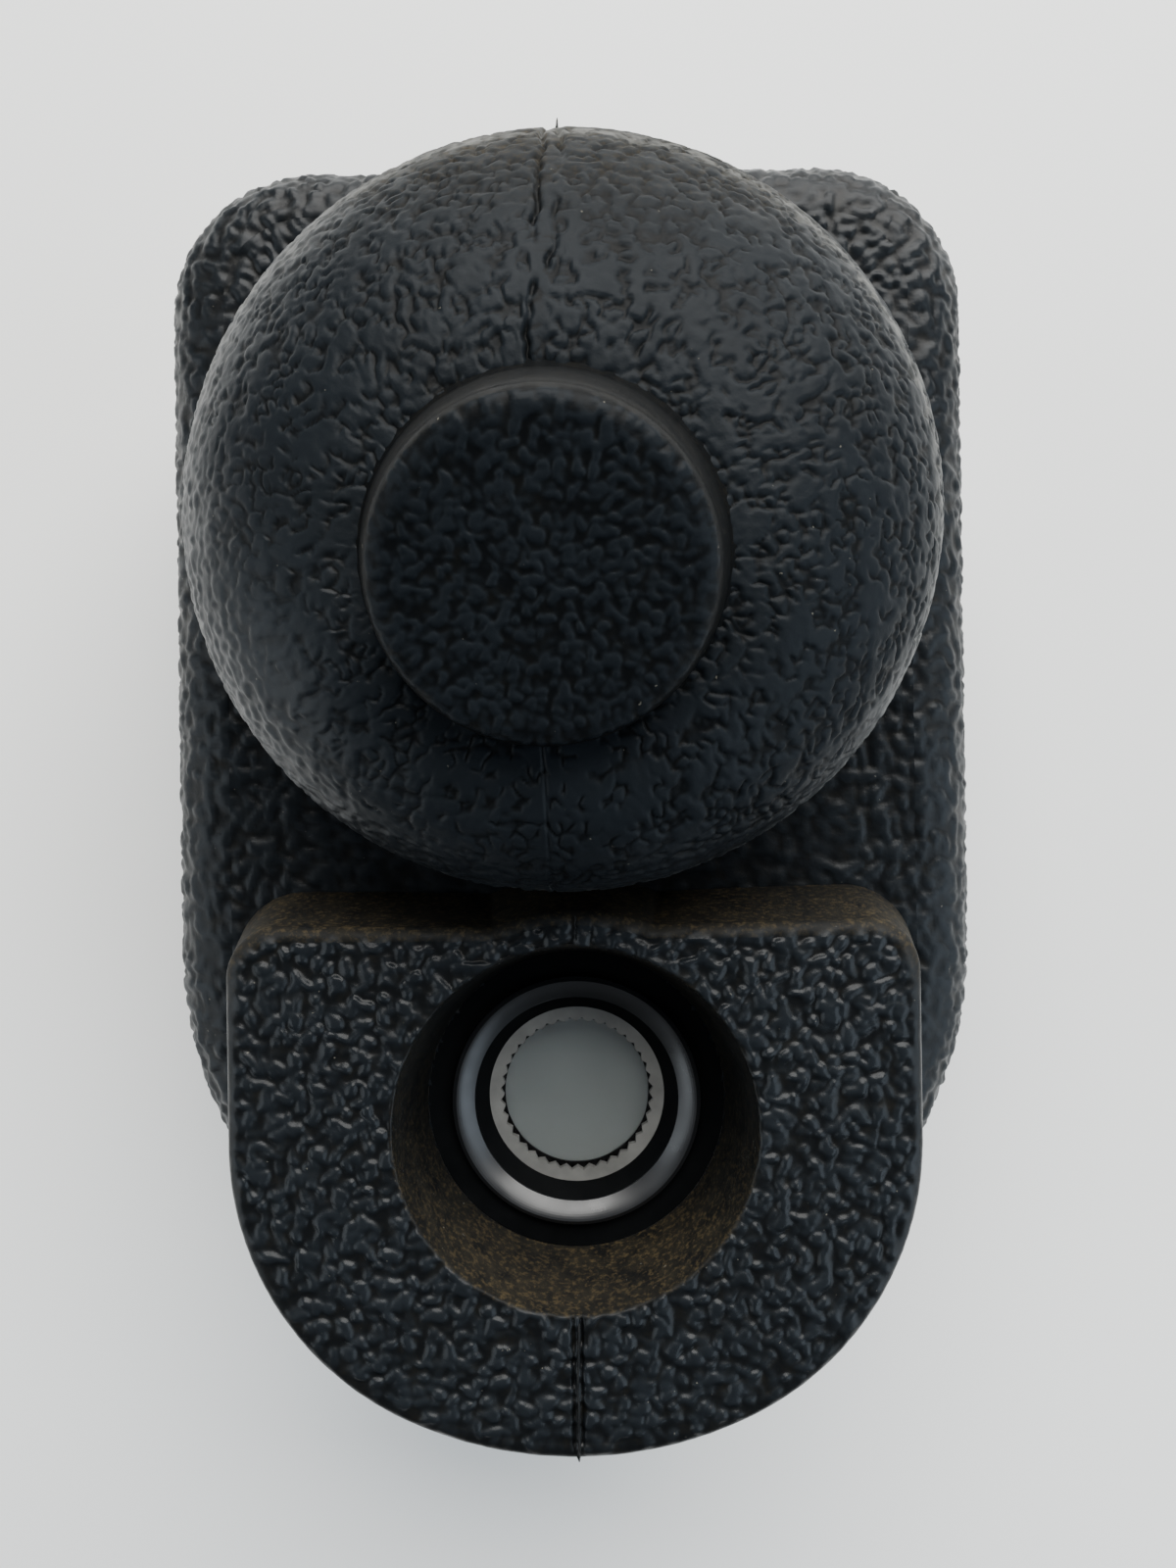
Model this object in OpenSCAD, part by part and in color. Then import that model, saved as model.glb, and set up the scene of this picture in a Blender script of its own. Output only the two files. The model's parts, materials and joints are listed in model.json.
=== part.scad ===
// Stereo camera lying on its back: a moulded body with one open eye in a D-shaped lens block and
// one eye under a domed push-on cap. X runs across the film, Y along it, Z along the optical axes
// from the back rim (Z = 0) towards the subject. All sizes are in millimetres.

/* [Body] */
// Width of the body across the film
body_w = 98.8; // [98:0.2:100]
// Height of the front face above the back rim
body_d = 48; // [47.5:0.5:49]
// Wall thickness of the moulded shell
wall = 4; // [3.6:0.1:4]
// How far the side walls lean in between the widest line and the back rim
draft = 4.4; // [4:0.1:4.6]
// Radius of the rounded front edge
edge_r = 8; // [7:0.5:8]

/* [Eyes] */
// Distance between the two optical axes
eye_gap = 70; // [70:0.5:71]
// Height of the lens blocks above the front face
block_h = 14; // [12:0.5:15]
// Half the width of the D-shaped lens block
block_half = 38; // [37.6:0.1:38.2]
// Radius of the D's shallow end arc
block_end_r = 44.4; // [43:0.1:46]
// Radius of the D's two side arcs
block_side_r = 33.3; // [32:0.1:34]
// Radius of the round lens block under the cap
round_block_r = 37; // [36.6:0.1:37]
// Radius of the recess at its mouth
recess_mouth_r = 20.1; // [19.6:0.1:20.6]
// Radius of the recess at its floor
recess_floor_r = 17.95; // [17.9:0.05:18]
// Clear radius inside the serrated retaining ring
lens_clear_r = 8.9; // [8.5:0.1:9]

/* [Cap] */
// Radius of the cap's rim
cap_r = 42; // [41.8:0.1:43]
// Height of the rim's widest line above the front face
cap_rim_z = 8; // [7:0.5:8]
// Height of the dome above the rim's widest line
dome_h = 24; // [22:0.5:25]
// Radius of the nub where it leaves the dome
nub_r = 17.3; // [16:0.1:18]
// Radius of the nub's flat top
nub_top_r = 14; // [13:0.1:14.5]
// Length of the nub
nub_h = 9.5; // [8:0.1:10]
// Angle by which the nub leans towards the open eye
nub_lean = 19; // [10:1:22]

/* [Film transport] */
// Height of the take-up spool's axis above the back rim
spool_z = 20; // [20:0.5:20.5]
// Teeth of the gears on the take-up spool and the sprocket, an odd number
small_teeth = 13; // [13]
// Teeth of the two idler gears, an odd number
idler_teeth = 21; // [21]
// Gear module
gear_module = 1; // [1]

/* [Release] */
// Travel of the release button
release_travel = 2.5; // [2:0.1:3]
// Travel of the shutter slide
shutter_travel = 20; // [20]

/* [Hidden] */

e = 0.01;
round_fn = 96;
run_gap = 0.05;
free_gap = 0.3;

black = "#1b1d20";
jacket = "#202327";
metal = "#b4b7b8";
brass = "#b08d4a";
steel = "#8d9194";

// Places along Y and Z that everything shares
body_l = 155;
corner_r = 18;
end_r = 42;
end_y = end_r - body_l / 2;
corner_x = body_w / 2 - corner_r;
corner_y = body_l / 2 - corner_r;
left_y = -37.5;
right_y = left_y + eye_gap;
widest_z = body_d - edge_r;
inner_z = body_d - wall;
block_top = body_d + block_h;

// Body outline as arcs in order round it, each [x, y, radius, first angle, last angle, steps]
turn = asin((body_w / 2 - end_r) / (-20 - end_y));
OUTLINE = [[0, end_y, end_r, -90, -turn, 8], [0, -20, body_w / 2, -turn, 0, 3],
    [corner_x, corner_y, corner_r, 0, 90, 8], [-corner_x, corner_y, corner_r, 90, 180, 8],
    [0, -20, body_w / 2, 180, 180 + turn, 3], [0, end_y, end_r, 180 + turn, 269.9, 8]];

// Openings at the back of the shell, as insets from the outline
opening_inset = 8.6;
lip_inset = 11;
cover_inset = 9.3;
lip_low = 4.4;
lip_high = 6.4;

// Film plane and mechanism levels
gate_low = 8.6;
gate_high = 10.6;
plate_top = inner_z - 2.5;
plate_low = plate_top - 2;
slide_low = plate_top + 0.8;
slide_high = slide_low + 0.6;
guide_high = plate_top + 1.8;
slide_half = 10.5;

// Side plates, as distances from the mid-plane
side_in = 19.4;
side_out = 21.2;

// Spool, gears and sprocket lie on one slanting line
takeup_y = -57.6;
sprocket_z = 15.3;
small_r = small_teeth * gear_module / 2;
idler_r = idler_teeth * gear_module / 2;
train_l = 2 * small_r + 4 * idler_r;
train_drop = asin((spool_z - sprocket_z) / train_l);
gear_low_x = -19.1;
gear_high_x = -17.8;
idler_a_at = small_r + idler_r;
idler_b_at = idler_a_at + 2 * idler_r;
function train_y(s) = takeup_y + s * cos(train_drop);
function train_z(s) = spool_z - s * sin(train_drop);
sprocket_y = train_y(train_l);
wind_shaft_r = 2;
sprocket_shaft_r = 1.5;
stud_r = 1.5;

// Film cassette
cassette_y = 58;
cassette_z = 17;
cassette_r = 12.5;
cassette_half = 23.5;

// Release button: pressed right in, it stands 0.5 above its pocket's floor
release_y = 18;
release_z = 28;
release_floor = 46.2;
button_r = 4;
button_out = release_floor + release_travel + 0.5;
flange_out = 43;
flange_in = 41.5;
bracket_in = 33;
bracket_out = 34.5;

// Back cover hinge
hinge_wall_x = body_w / 2 - opening_inset + 0.7;
hinge_strips = [[-36, -31], [31, 64]];
hinge_x = -38.6;
hinge_z = 2;
knuckle_r = 1.8;
hinge_r = 1;
cover_low = 0.8;
cover_high = 3;
ball_r = 0.8;
ball_x = body_w / 2 - opening_inset - ball_r - run_gap;
ball_z = (cover_low + cover_high) / 2;
detent_places = [-15, 35];

// Screws: those that hold the lens blocks on, and those that hold the shutter plate
block_places = [for (sx = [-1, 1]) for (p = [[30, -46], [30, -24], [27, 46], [27, 19]]) [sx * p.x, p.y]];
block_screw_r = 1.5;
chassis_places = [for (sx = [-1, 1]) for (y = [-53, 57]) [sx * 25, y]];
chassis_screw_r = 1.25;

// Lens cell levels
bezel_low = body_d + 0.2;
cell_flange_low = body_d - 1.6;
cell_low = inner_z - 0.5;
cell_r = 15.6;
cell_flange_r = 17.85;
bezel_in = 12.3;
bezel_out = 14.9;
ring_r = 10.7;
ring_low = body_d - 2.8;
ring_high = body_d - 1.9;
lens_r = 9.8;
lens_low = cell_low + 0.45;
rear_cell_low = plate_low - 6;
rear_cell_r = 9;
rear_lens_r = 7.6;

// Cap: the dome's centre moves along Y as it rises, to meet the leaning nub
cap_low = body_d + 1.6;
cap_wide = body_d + cap_rim_z;
socket_r = round_block_r + 0.6;
socket_top = block_top + 0.4;
nub_x = -1.8;
nub_y = right_y - 10.25;
cap_wall = 4;
cap_fn = 64;

// ---------- helpers ----------

module x_rod(x0, x1, y, z, r, fn = 64) {
    translate([x0, y, z]) rotate([0, 90, 0]) cylinder(h = x1 - x0, r = r, $fn = fn);
}

module y_rod(y0, y1, x, z, r, fn = 48) {
    translate([x, y0, z]) rotate([-90, 0, 0]) cylinder(h = y1 - y0, r = r, $fn = fn);
}

// A box from one corner to the other
module span(low, high) {
    translate(low) cube(high - low);
}

// Turns a flat drawing so that its x runs along Y, its y along Z, and it grows along +X
module facing_x(x, y, z) {
    translate([x, y, z]) rotate([90, 0, 90]) children();
}

function ring(arcs, z, inset) = [for (c = arcs) for (i = [0:c[5]])
    let(a = c[3] + (c[4] - c[3]) * i / c[5])
    [c[0] + (c[2] - inset) * cos(a), c[1] + (c[2] - inset) * sin(a), z]];

// A closed form through an outline of arcs at several levels, each given as [z, inset]
module lofted(levels, arcs = OUTLINE) {
    n = len(ring(arcs, 0, 0));
    last = len(levels) - 1;
    walls = [for (k = [0:last - 1]) for (i = [0:n - 1])
        let(j = (i + 1) % n) [k * n + i, (k + 1) * n + i, (k + 1) * n + j, k * n + j]];
    floor = [for (i = [0:n - 1]) i];
    roof = [for (i = [n - 1:-1:0]) last * n + i];
    points = [for (l = levels) for (p = ring(arcs, l[0], l[1])) p];
    polyhedron(points, concat(walls, [floor, roof]), convexity = 6);
}

// One turn of a radius at the front edge, as levels
function rounding(z, r, inset) = [for (a = [0:22.5:90]) [z + r * sin(a), inset + r * (1 - cos(a))]];

module gear(teeth, width, bore) {
    pitch_r = teeth * gear_module / 2;
    tip = pitch_r + 0.85 * gear_module;
    root = pitch_r - 1.15 * gear_module;
    tip_half = 0.34 * gear_module / tip * 180 / PI;
    root_half = 0.9 * gear_module / root * 180 / PI;
    tooth = [[root, -root_half], [tip, -tip_half], [tip, tip_half], [root, root_half]];
    linear_extrude(width) difference() {
        polygon([for (i = [0:teeth - 1]) for (p = tooth)
            let(a = i * 360 / teeth - train_drop + p[1]) p[0] * [cos(a), sin(a)]]);
        circle(r = bore, $fn = 48);
    }
}

// A helical spring along +Z
module coil(r, wire_r, turns, length) {
    sides = 6;
    per_turn = 12;
    rings = turns * per_turn;
    points = [for (k = [0:rings]) for (j = [0:sides - 1])
        let(t = 360 * k / per_turn, f = 360 * j / sides, out = r + wire_r * cos(f))
        [out * cos(t), out * sin(t), wire_r * (1 + sin(f)) + (length - 2 * wire_r) * k / rings]];
    walls = [for (k = [0:rings - 1]) for (j = [0:sides - 1])
        let(n = (j + 1) % sides)
        [k * sides + j, k * sides + n, (k + 1) * sides + n, (k + 1) * sides + j]];
    first = [for (j = [sides - 1:-1:0]) j];
    last = [for (j = [0:sides - 1]) rings * sides + j];
    polyhedron(points, concat(walls, [first, last]), convexity = 4);
}

// A ribbed knob along +Z
module knob(r, height, ribs) {
    rib = [[-0.3, -0.6], [-0.16, 0], [0.16, 0], [0.3, -0.6]];
    linear_extrude(height) polygon([for (i = [0:ribs - 1]) for (s = rib)
        let(a = (i + s[0]) * 360 / ribs) (r + s[1]) * [cos(a), sin(a)]]);
}

// Screws and screw holes at several places
module at_places(places, low_z, height, r) {
    for (p = places) translate([p.x, p.y, low_z]) cylinder(h = height, r = r, $fn = 32);
}

// ---------- shell ----------

module body_outer() {
    lofted(concat([[0, draft]], rounding(widest_z, edge_r, 0)));
}

module body_cavity() {
    low_inset = wall + draft * (1 - lip_high / widest_z);
    lofted(concat([[lip_high, low_inset]], rounding(widest_z, edge_r - wall, wall)));
}

module knob_pocket(y, z, floor_x, r) {
    x_rod(floor_x, body_w, y, z, r);
}

module lens_hole(y) {
    translate([0, y, inner_z - 5]) cylinder(h = 10, r = cell_r, $fn = round_fn);
    translate([0, y, cell_flange_low]) cylinder(h = 10, r = cell_flange_r, $fn = round_fn);
}

module hinge_knuckles(r, ends) {
    for (y = ends) y_rod(y[0], y[1], hinge_x, hinge_z, r);
}

shell_knuckles = [[-30, -20.4], [20.4, 30]];

module shell() {
    color(jacket) difference() {
        union() {
            difference() {
                body_outer();
                lofted([[-1, opening_inset], [lip_low, opening_inset]]);
                lofted([[lip_low - 1, lip_inset], [lip_high + 1, lip_inset]]);
                body_cavity();
            }
            intersection() {
                body_outer();
                union() {
                    x_rod(22.2, body_w, takeup_y, spool_z, 12.5);
                    x_rod(40, body_w, cassette_y, cassette_z, 12.4);
                    at_places(chassis_places, plate_top, body_d - plate_top, 4);
                    for (y = hinge_strips)
                        span([-hinge_wall_x, y[0], cover_low], [hinge_x + 1.6, y[1], cover_high + 0.2]);
                    for (k = shell_knuckles) span([-44, k[0], 0.4], [hinge_x, k[1], lip_low + e]);
                    hinge_knuckles(knuckle_r, shell_knuckles);
                }
            }
        }
        lens_hole(left_y);
        lens_hole(right_y);
        knob_pocket(takeup_y, spool_z, 24, 11);
        knob_pocket(cassette_y, cassette_z, 42, 11.5);
        knob_pocket(sprocket_y, sprocket_z, 44.4, 8);
        knob_pocket(release_y, release_z, release_floor, 7);
        x_rod(20, body_w, takeup_y, spool_z, wind_shaft_r + 1);
        x_rod(38, body_w, cassette_y, cassette_z, wind_shaft_r + run_gap);
        x_rod(38, body_w, sprocket_y, sprocket_z, sprocket_shaft_r + 1);
        x_rod(38, body_w, release_y, release_z, button_r + run_gap);
        x_rod(-body_w, -38, 0, spool_z, 6);
        x_rod(-body_w, -46.4, 0, spool_z, 10);
        screw_holes();
        at_places(chassis_places, 30, 16, chassis_screw_r);
        hinge_knuckles(hinge_r, [[-31, 31]]);
    }
}

module tripod_bush() {
    color(brass) difference() {
        union() {
            x_rod(-46.4, -37, 0, spool_z, 6);
            x_rod(-42, -40, 0, spool_z, 8.5);
        }
        x_rod(-50, -38.4, 0, spool_z, 2.55);
    }
}

// ---------- lens blocks and cap fittings ----------

module recess(y) {
    translate([0, y, body_d]) cylinder(h = block_h, r1 = recess_floor_r, r2 = recess_mouth_r, $fn = round_fn);
    translate([0, y, block_top - e]) cylinder(h = 1, r = recess_mouth_r, $fn = round_fn);
    translate([0, y, body_d - 9]) cylinder(h = 9 + e, r = recess_floor_r, $fn = round_fn);
}

module screw_holes() {
    at_places(block_places, 40, 16, block_screw_r);
}

// The D-shaped block wraps down over the rounded front edge of the body
module left_lens_block() {
    flare = 3;
    corner = 5.5;
    corner_x = block_half - corner;
    corner_y = -20.5;
    end_arc_y = -73.3 + block_end_r;
    side_x = block_half - block_side_r;
    join = asin(side_x / (block_end_r - block_side_r));
    side_y = end_arc_y - (block_end_r - block_side_r) * cos(join);
    arcs = [[-side_x, side_y, block_side_r, -180, -90 - join, 8],
        [0, end_arc_y, block_end_r, -90 - join, -90 + join, 8],
        [side_x, side_y, block_side_r, -90 + join, 0, 8],
        [corner_x, corner_y, corner, 0, 90, 6], [-corner_x, corner_y, corner, 90, 179.9, 6]];
    levels = [[widest_z, -flare], [body_d, -flare], [block_top - 0.5, 0], [block_top, 0.5]];
    color(black) difference() {
        union() {
            lofted(levels, arcs);
            translate([0, left_y, body_d]) cylinder(h = block_h, r1 = 26.9, r2 = 23.9, $fn = round_fn);
        }
        body_outer();
        recess(left_y);
        screw_holes();
    }
}

module o_ring_torus() {
    translate([0, right_y, body_d + 7]) rotate_extrude($fn = round_fn)
        translate([round_block_r - 0.6, 0]) circle(r = 0.9, $fn = 24);
}

module right_lens_block() {
    color(black) difference() {
        translate([0, right_y, body_d]) cylinder(h = block_h, r = round_block_r, $fn = round_fn);
        recess(right_y);
        screw_holes();
        o_ring_torus();
    }
}

module cap_o_ring() {
    color("#111111") o_ring_torus();
}

module block_screws() {
    color(steel) {
        at_places(block_places, inner_z - 1.4, 1.4, 2.6);
        at_places(block_places, inner_z - e, 12 + e, block_screw_r);
    }
}

// ---------- optics, the same for both eyes ----------

module front_cell(y) {
    color(black) translate([0, y, 0]) rotate_extrude($fn = round_fn) polygon([
        [cell_flange_r, cell_flange_low], [cell_flange_r, bezel_low], [bezel_in, bezel_low],
        [ring_r, ring_high], [ring_r, ring_low], [lens_r, ring_low], [lens_r, lens_low],
        [lens_clear_r, lens_low], [lens_clear_r, cell_low], [cell_r, cell_low], [cell_r, cell_flange_low]]);
}

// A ring with a narrow crest, whose broad crowned slope faces the axis
module bezel(y) {
    crest = 14.4;
    crest_h = 1.4;
    drop = 1.1;
    steps = 8;
    slope = [for (i = [0:steps]) let(t = i / steps)
        [crest - (crest - bezel_in) * t, crest_h - drop * pow(t, 1.4)]];
    color("#3a3d40") translate([0, y, bezel_low]) rotate_extrude($fn = round_fn)
        polygon(concat([[bezel_in, 0], [bezel_out, 0], [bezel_out, crest_h - 0.4]], slope));
}

// A thin ring with a sawtooth inner edge
module retaining_ring(y) {
    saws = 40;
    color(metal) translate([0, y, ring_low]) linear_extrude(ring_high - ring_low) difference() {
        circle(r = ring_r, $fn = round_fn);
        polygon([for (i = [0:saws - 1]) for (s = [[0, 0], [0.5, 0.5]])
            let(a = (i + s[0]) * 360 / saws) (lens_clear_r + s[1]) * [cos(a), sin(a)]]);
    }
}

module front_lens(y) {
    bulge = 0.7;
    rim_top = ring_low;
    crown_r = lens_clear_r - 0.1;
    steps = 6;
    color("#9fb4bd") translate([0, y, 0]) rotate_extrude($fn = round_fn) polygon(concat(
        [[0, lens_low], [lens_r, lens_low], [lens_r, rim_top]],
        [for (i = [0:steps]) let(r = crown_r * (1 - i / steps))
            [r, rim_top + bulge * (1 - pow(r / crown_r, 2))]]));
}

module rear_cell(y) {
    color(black) translate([0, y, 0]) rotate_extrude($fn = round_fn) polygon([
        [rear_lens_r, rear_cell_low], [rear_cell_r, rear_cell_low], [rear_cell_r, plate_low - 1.5],
        [10.8, plate_low - 1.5], [10.8, plate_low], [rear_cell_r, plate_low],
        [rear_cell_r, plate_top + 0.4], [rear_lens_r, plate_top + 0.4]]);
}

module rear_lens(y) {
    thin = 1.6;
    bulge = 0.9;
    mid_z = rear_cell_low + 3;
    color("#9fb4bd") translate([0, y, mid_z]) rotate_extrude($fn = round_fn) polygon([
        for (s = [-1, 1]) for (i = [0:6]) let(r = rear_lens_r * (s < 0 ? i : 6 - i) / 6)
            [r, s * (thin / 2 + bulge * (1 - pow(r / rear_lens_r, 2)))]]);
}

// ---------- shutter ----------

module shutter_plate() {
    color(metal) difference() {
        union() {
            span([-29, -58, plate_low], [29, 62, plate_top]);
            span([20, 9, plate_low], [36, 27, plate_top]);
            span([13.6, 12, plate_top - e], [16.4, 13.6, guide_high + 0.3]);
        }
        for (y = [left_y, right_y]) translate([0, y, plate_low - 1])
            cylinder(h = 4, r = rear_cell_r, $fn = round_fn);
        at_places(chassis_places, plate_low - 1, 4, chassis_screw_r);
    }
}

// The guide on the spring's side is broken where the slide's tab travels
module shutter_guides() {
    inner = slide_half + free_gap;
    color(brass) for (g = [[-1, -62 + 4, 62], [1, -58, -27], [1, 7, 62]])
        translate([g[0] > 0 ? inner : -inner - 2.2, g[1], plate_top])
            cube([2.2, g[2] - g[1], guide_high - plate_top]);
}

module chassis_screws() {
    color(steel) {
        at_places(chassis_places, plate_low - 1.5, 1.5, 2.8);
        at_places(chassis_places, plate_low - e, 46 - plate_low, chassis_screw_r);
    }
}

// One long blade with a round window for each eye, which waits beside the lens at rest
module shutter_slide() {
    window_r = 8.6;
    color(metal) difference() {
        union() {
            span([-slide_half, left_y - shutter_travel, slide_low], [slide_half, right_y, slide_high]);
            for (y = [left_y - shutter_travel, right_y]) translate([0, y, slide_low])
                cylinder(h = slide_high - slide_low, r = slide_half, $fn = 64);
            span([slide_half - 1, -22, slide_low], [16.4, -20.2, slide_high]);
            span([13.6, -22, slide_low - 0.5], [16.4, -20.2, guide_high + 0.3]);
        }
        for (y = [left_y, right_y]) translate([0, y - shutter_travel, slide_low - 1])
            cylinder(h = 3, r = window_r, $fn = 64);
    }
}

module shutter_spring() {
    color(steel) translate([15, -20.2, slide_low + 0.3]) rotate([-90, 0, 0]) coil(0.75, 0.22, 10, 32.2);
}

// ---------- release ----------

module release_button() {
    color(black) difference() {
        union() {
            x_rod(flange_out - e, button_out, release_y, release_z, button_r);
            x_rod(flange_in, flange_out, release_y, release_z, 6);
            x_rod(30, flange_in + e, release_y, release_z, 1.5);
        }
        translate([button_out + 9.6, release_y, release_z]) sphere(r = 10, $fn = 64);
    }
}

module release_bracket() {
    color(steel) difference() {
        span([bracket_in, 10, 22], [bracket_out, 26, plate_low]);
        x_rod(30, 38, release_y, release_z, 1.5 + run_gap);
    }
}

module release_spring() {
    color(steel) translate([bracket_out, release_y, release_z]) rotate([0, 90, 0])
        coil(3, 0.3, 5, flange_in - bracket_out);
}

// ---------- dark chambers and film gate ----------

module dark_chamber(y) {
    half = [13.8, 12.4];
    sheet = 0.8;
    color(black) difference() {
        span([-half.x, y - half.y, gate_high], [half.x, y + half.y, plate_low]);
        span([sheet - half.x, y - half.y + sheet, gate_high - 1],
            [half.x - sheet, y + half.y - sheet, plate_low + 1]);
    }
}

module gate_plate() {
    color(metal) difference() {
        span([-17.6, -50.4, gate_low], [17.6, 45.2, gate_high]);
        for (y = [left_y, right_y]) span([-12, y - 11.5, 0], [12, y + 11.5, 20]);
        span([-17, sprocket_y - 8.5, 0], [17.7, sprocket_y + 8.5, 20]);
    }
}

module side_plate(low_x) {
    width = side_out - side_in;
    color(metal) difference() {
        span([low_x, -62.4, 12.6], [low_x + width, 44, plate_low]);
        x_rod(low_x - 1, low_x + 3, takeup_y, spool_z, wind_shaft_r + run_gap);
        x_rod(low_x - 1, low_x + 3, sprocket_y, sprocket_z, sprocket_shaft_r + run_gap);
        if (low_x < 0) for (s = [idler_a_at, idler_b_at])
            x_rod(low_x - 1, low_x + 3, train_y(s), train_z(s), stud_r);
    }
}

module top_side_plate() {
    side_plate(side_in);
}

module bottom_side_plate() {
    side_plate(-side_out);
}

module idler_studs() {
    color(steel) for (s = [idler_a_at, idler_b_at])
        x_rod(-side_out, gear_high_x + 0.2, train_y(s), train_z(s), stud_r);
}

// ---------- film transport ----------

module wind_shaft() {
    color(steel) x_rod(-21, 30, takeup_y, spool_z, wind_shaft_r);
}

module takeup_spool() {
    color(black) difference() {
        union() {
            x_rod(-17.4, 18.6, takeup_y, spool_z, 3.6);
            x_rod(-17.4, -16.6, takeup_y, spool_z, 7.3);
            x_rod(17.8, 18.6, takeup_y, spool_z, 7.3);
        }
        x_rod(-20, 20, takeup_y, spool_z, wind_shaft_r);
        span([-10, takeup_y - 0.6, spool_z + 2.4], [10, takeup_y + 0.6, spool_z + 5]);
    }
}

module wind_knob() {
    color(metal) difference() {
        facing_x(24.6, takeup_y, spool_z) knob(9.5, 9.4, 30);
        x_rod(20, 30, takeup_y, spool_z, wind_shaft_r);
    }
}

module geared(s, teeth, bore) {
    color(brass) facing_x(gear_low_x, train_y(s), train_z(s)) gear(teeth, gear_high_x - gear_low_x, bore);
}

module takeup_gear() {
    geared(0, small_teeth, wind_shaft_r);
}

module idler_gear_a() {
    geared(idler_a_at, idler_teeth, stud_r + run_gap);
}

module idler_gear_b() {
    geared(idler_b_at, idler_teeth, stud_r + run_gap);
}

module sprocket_gear() {
    geared(train_l, small_teeth, sprocket_shaft_r);
}

module sprocket_shaft() {
    color(steel) x_rod(-21, 45.8, sprocket_y, sprocket_z, sprocket_shaft_r);
}

module sprocket() {
    drum_r = 6;
    teeth = 8;
    row_x = 14.1;
    color(metal) difference() {
        union() {
            x_rod(-16.8, 16.8, sprocket_y, sprocket_z, 4.6);
            for (x = [-16.8, 11.4]) x_rod(x, x + 5.4, sprocket_y, sprocket_z, drum_r);
            for (x = [-row_x, row_x]) for (i = [0:teeth - 1])
                translate([x, sprocket_y, sprocket_z]) rotate([i * 360 / teeth, 0, 0])
                    translate([0, 0, 4]) cylinder(h = 2.9, r = 0.7, $fn = 24);
        }
        x_rod(-20, 20, sprocket_y, sprocket_z, sprocket_shaft_r);
    }
}

module counter_dial() {
    ticks = 12;
    color(metal) difference() {
        x_rod(44.8, 46, sprocket_y, sprocket_z, 7);
        x_rod(40, 50, sprocket_y, sprocket_z, sprocket_shaft_r);
        for (i = [0:ticks - 1]) translate([45.7, sprocket_y, sprocket_z]) rotate([i * 360 / ticks, 0, 0])
            translate([0, -0.25, 4.6]) cube([1, 0.5, 1.8]);
    }
}

module film_cassette() {
    can = 0.4;
    color("#c8a43c") difference() {
        x_rod(-cassette_half, cassette_half, cassette_y, cassette_z, cassette_r);
        x_rod(can - cassette_half, cassette_half - can, cassette_y, cassette_z, cassette_r - can);
        x_rod(-30, 30, cassette_y, cassette_z, 3.5);
    }
}

module cassette_cradle() {
    color(steel) difference() {
        for (x = [-25.5, 24]) span([x, 47, 8], [x + 1.5, 61.8, plate_low]);
        x_rod(-30, 30, cassette_y, cassette_z, 3.5);
        at_places(chassis_places, plate_low - 2, 3, 3.2);
    }
}

module cassette_spool() {
    color(black) difference() {
        x_rod(-26, 23.9, cassette_y, cassette_z, 3.2);
        x_rod(22, 24, cassette_y, cassette_z, 1.4);
    }
}

module film_roll() {
    color("#4b4338") difference() {
        x_rod(-17.5, 17.5, cassette_y, cassette_z, 10.8);
        x_rod(-18, 18, cassette_y, cassette_z, 3.2);
    }
}

module rewind_shaft() {
    color(steel) union() {
        x_rod(23.9, 45, cassette_y, cassette_z, wind_shaft_r);
        x_rod(22, 24, cassette_y, cassette_z, 1.4);
    }
}

module rewind_knob() {
    color(metal) difference() {
        facing_x(42.6, cassette_y, cassette_z) knob(10, 5, 30);
        x_rod(40, 45, cassette_y, cassette_z, wind_shaft_r);
    }
}

// ---------- back cover ----------

module back_cover() {
    color(black) difference() {
        union() {
            difference() {
                lofted([[cover_low, cover_inset], [cover_high, cover_inset]]);
                span([-60, -80, -1], [hinge_x + 2.2, 80, 10]);
                for (y = [[-80, -34], [62, 80]]) span([-60, y[0], -1], [hinge_x + 3.2, y[1], 10]);
            }
            span([hinge_x, -20, cover_low], [hinge_x + 2.4, 20, cover_high]);
            hinge_knuckles(knuckle_r, [[-20, 20]]);
        }
        hinge_knuckles(hinge_r + run_gap, [[-31, 31]]);
        for (y = detent_places) x_rod(ball_x - 2.5, body_w / 2, y, ball_z, ball_r + run_gap, 32);
    }
}

// Two sprung balls that just reach the wall of the opening and hold the cover shut
module detent_balls() {
    color(steel) for (y = detent_places) translate([ball_x, y, ball_z]) sphere(r = ball_r, $fn = 32);
}

module hinge_pin() {
    color(steel) hinge_knuckles(hinge_r, [[-30, 30]]);
}

module light_seal() {
    color("#151515") difference() {
        lofted([[cover_high + 0.3, opening_inset], [lip_low, opening_inset]]);
        lofted([[cover_high - 1, lip_inset], [lip_low + 1, lip_inset]]);
        span([-60, -31, 0], [-30, 31, 10]);
    }
}

module pressure_plate() {
    color(black) difference() {
        span([-17, -50, 6.3], [17, 45, 7.6]);
        for (x = [-13, 13]) y_rod(-60, 60, x, 7.9, 0.6);
    }
}

module pressure_springs() {
    sheet = 0.3;
    bow = 6.3 - cover_high - sheet;
    arch = [for (s = [0:1]) for (i = [0:8]) let(t = s == 0 ? i : 8 - i)
        [-18 + 36 * t / 8, bow * sin(180 * t / 8) + (s == 0 ? 0 : sheet)]];
    color(steel) for (y = [left_y, right_y]) translate([-4, y, cover_high]) rotate([90, 0, 90])
        linear_extrude(8) polygon(arch);
}

// ---------- cap ----------

// Levels of the cap's outer form: each is [z, radius, x, y]
function dome_level(a) = let(up = sin(a), over = pow(up, 1.3)) [cap_wide + dome_h * up,
    nub_r + (cap_r - nub_r) * cos(a), nub_x * over, right_y + (nub_y - right_y) * over];

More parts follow.
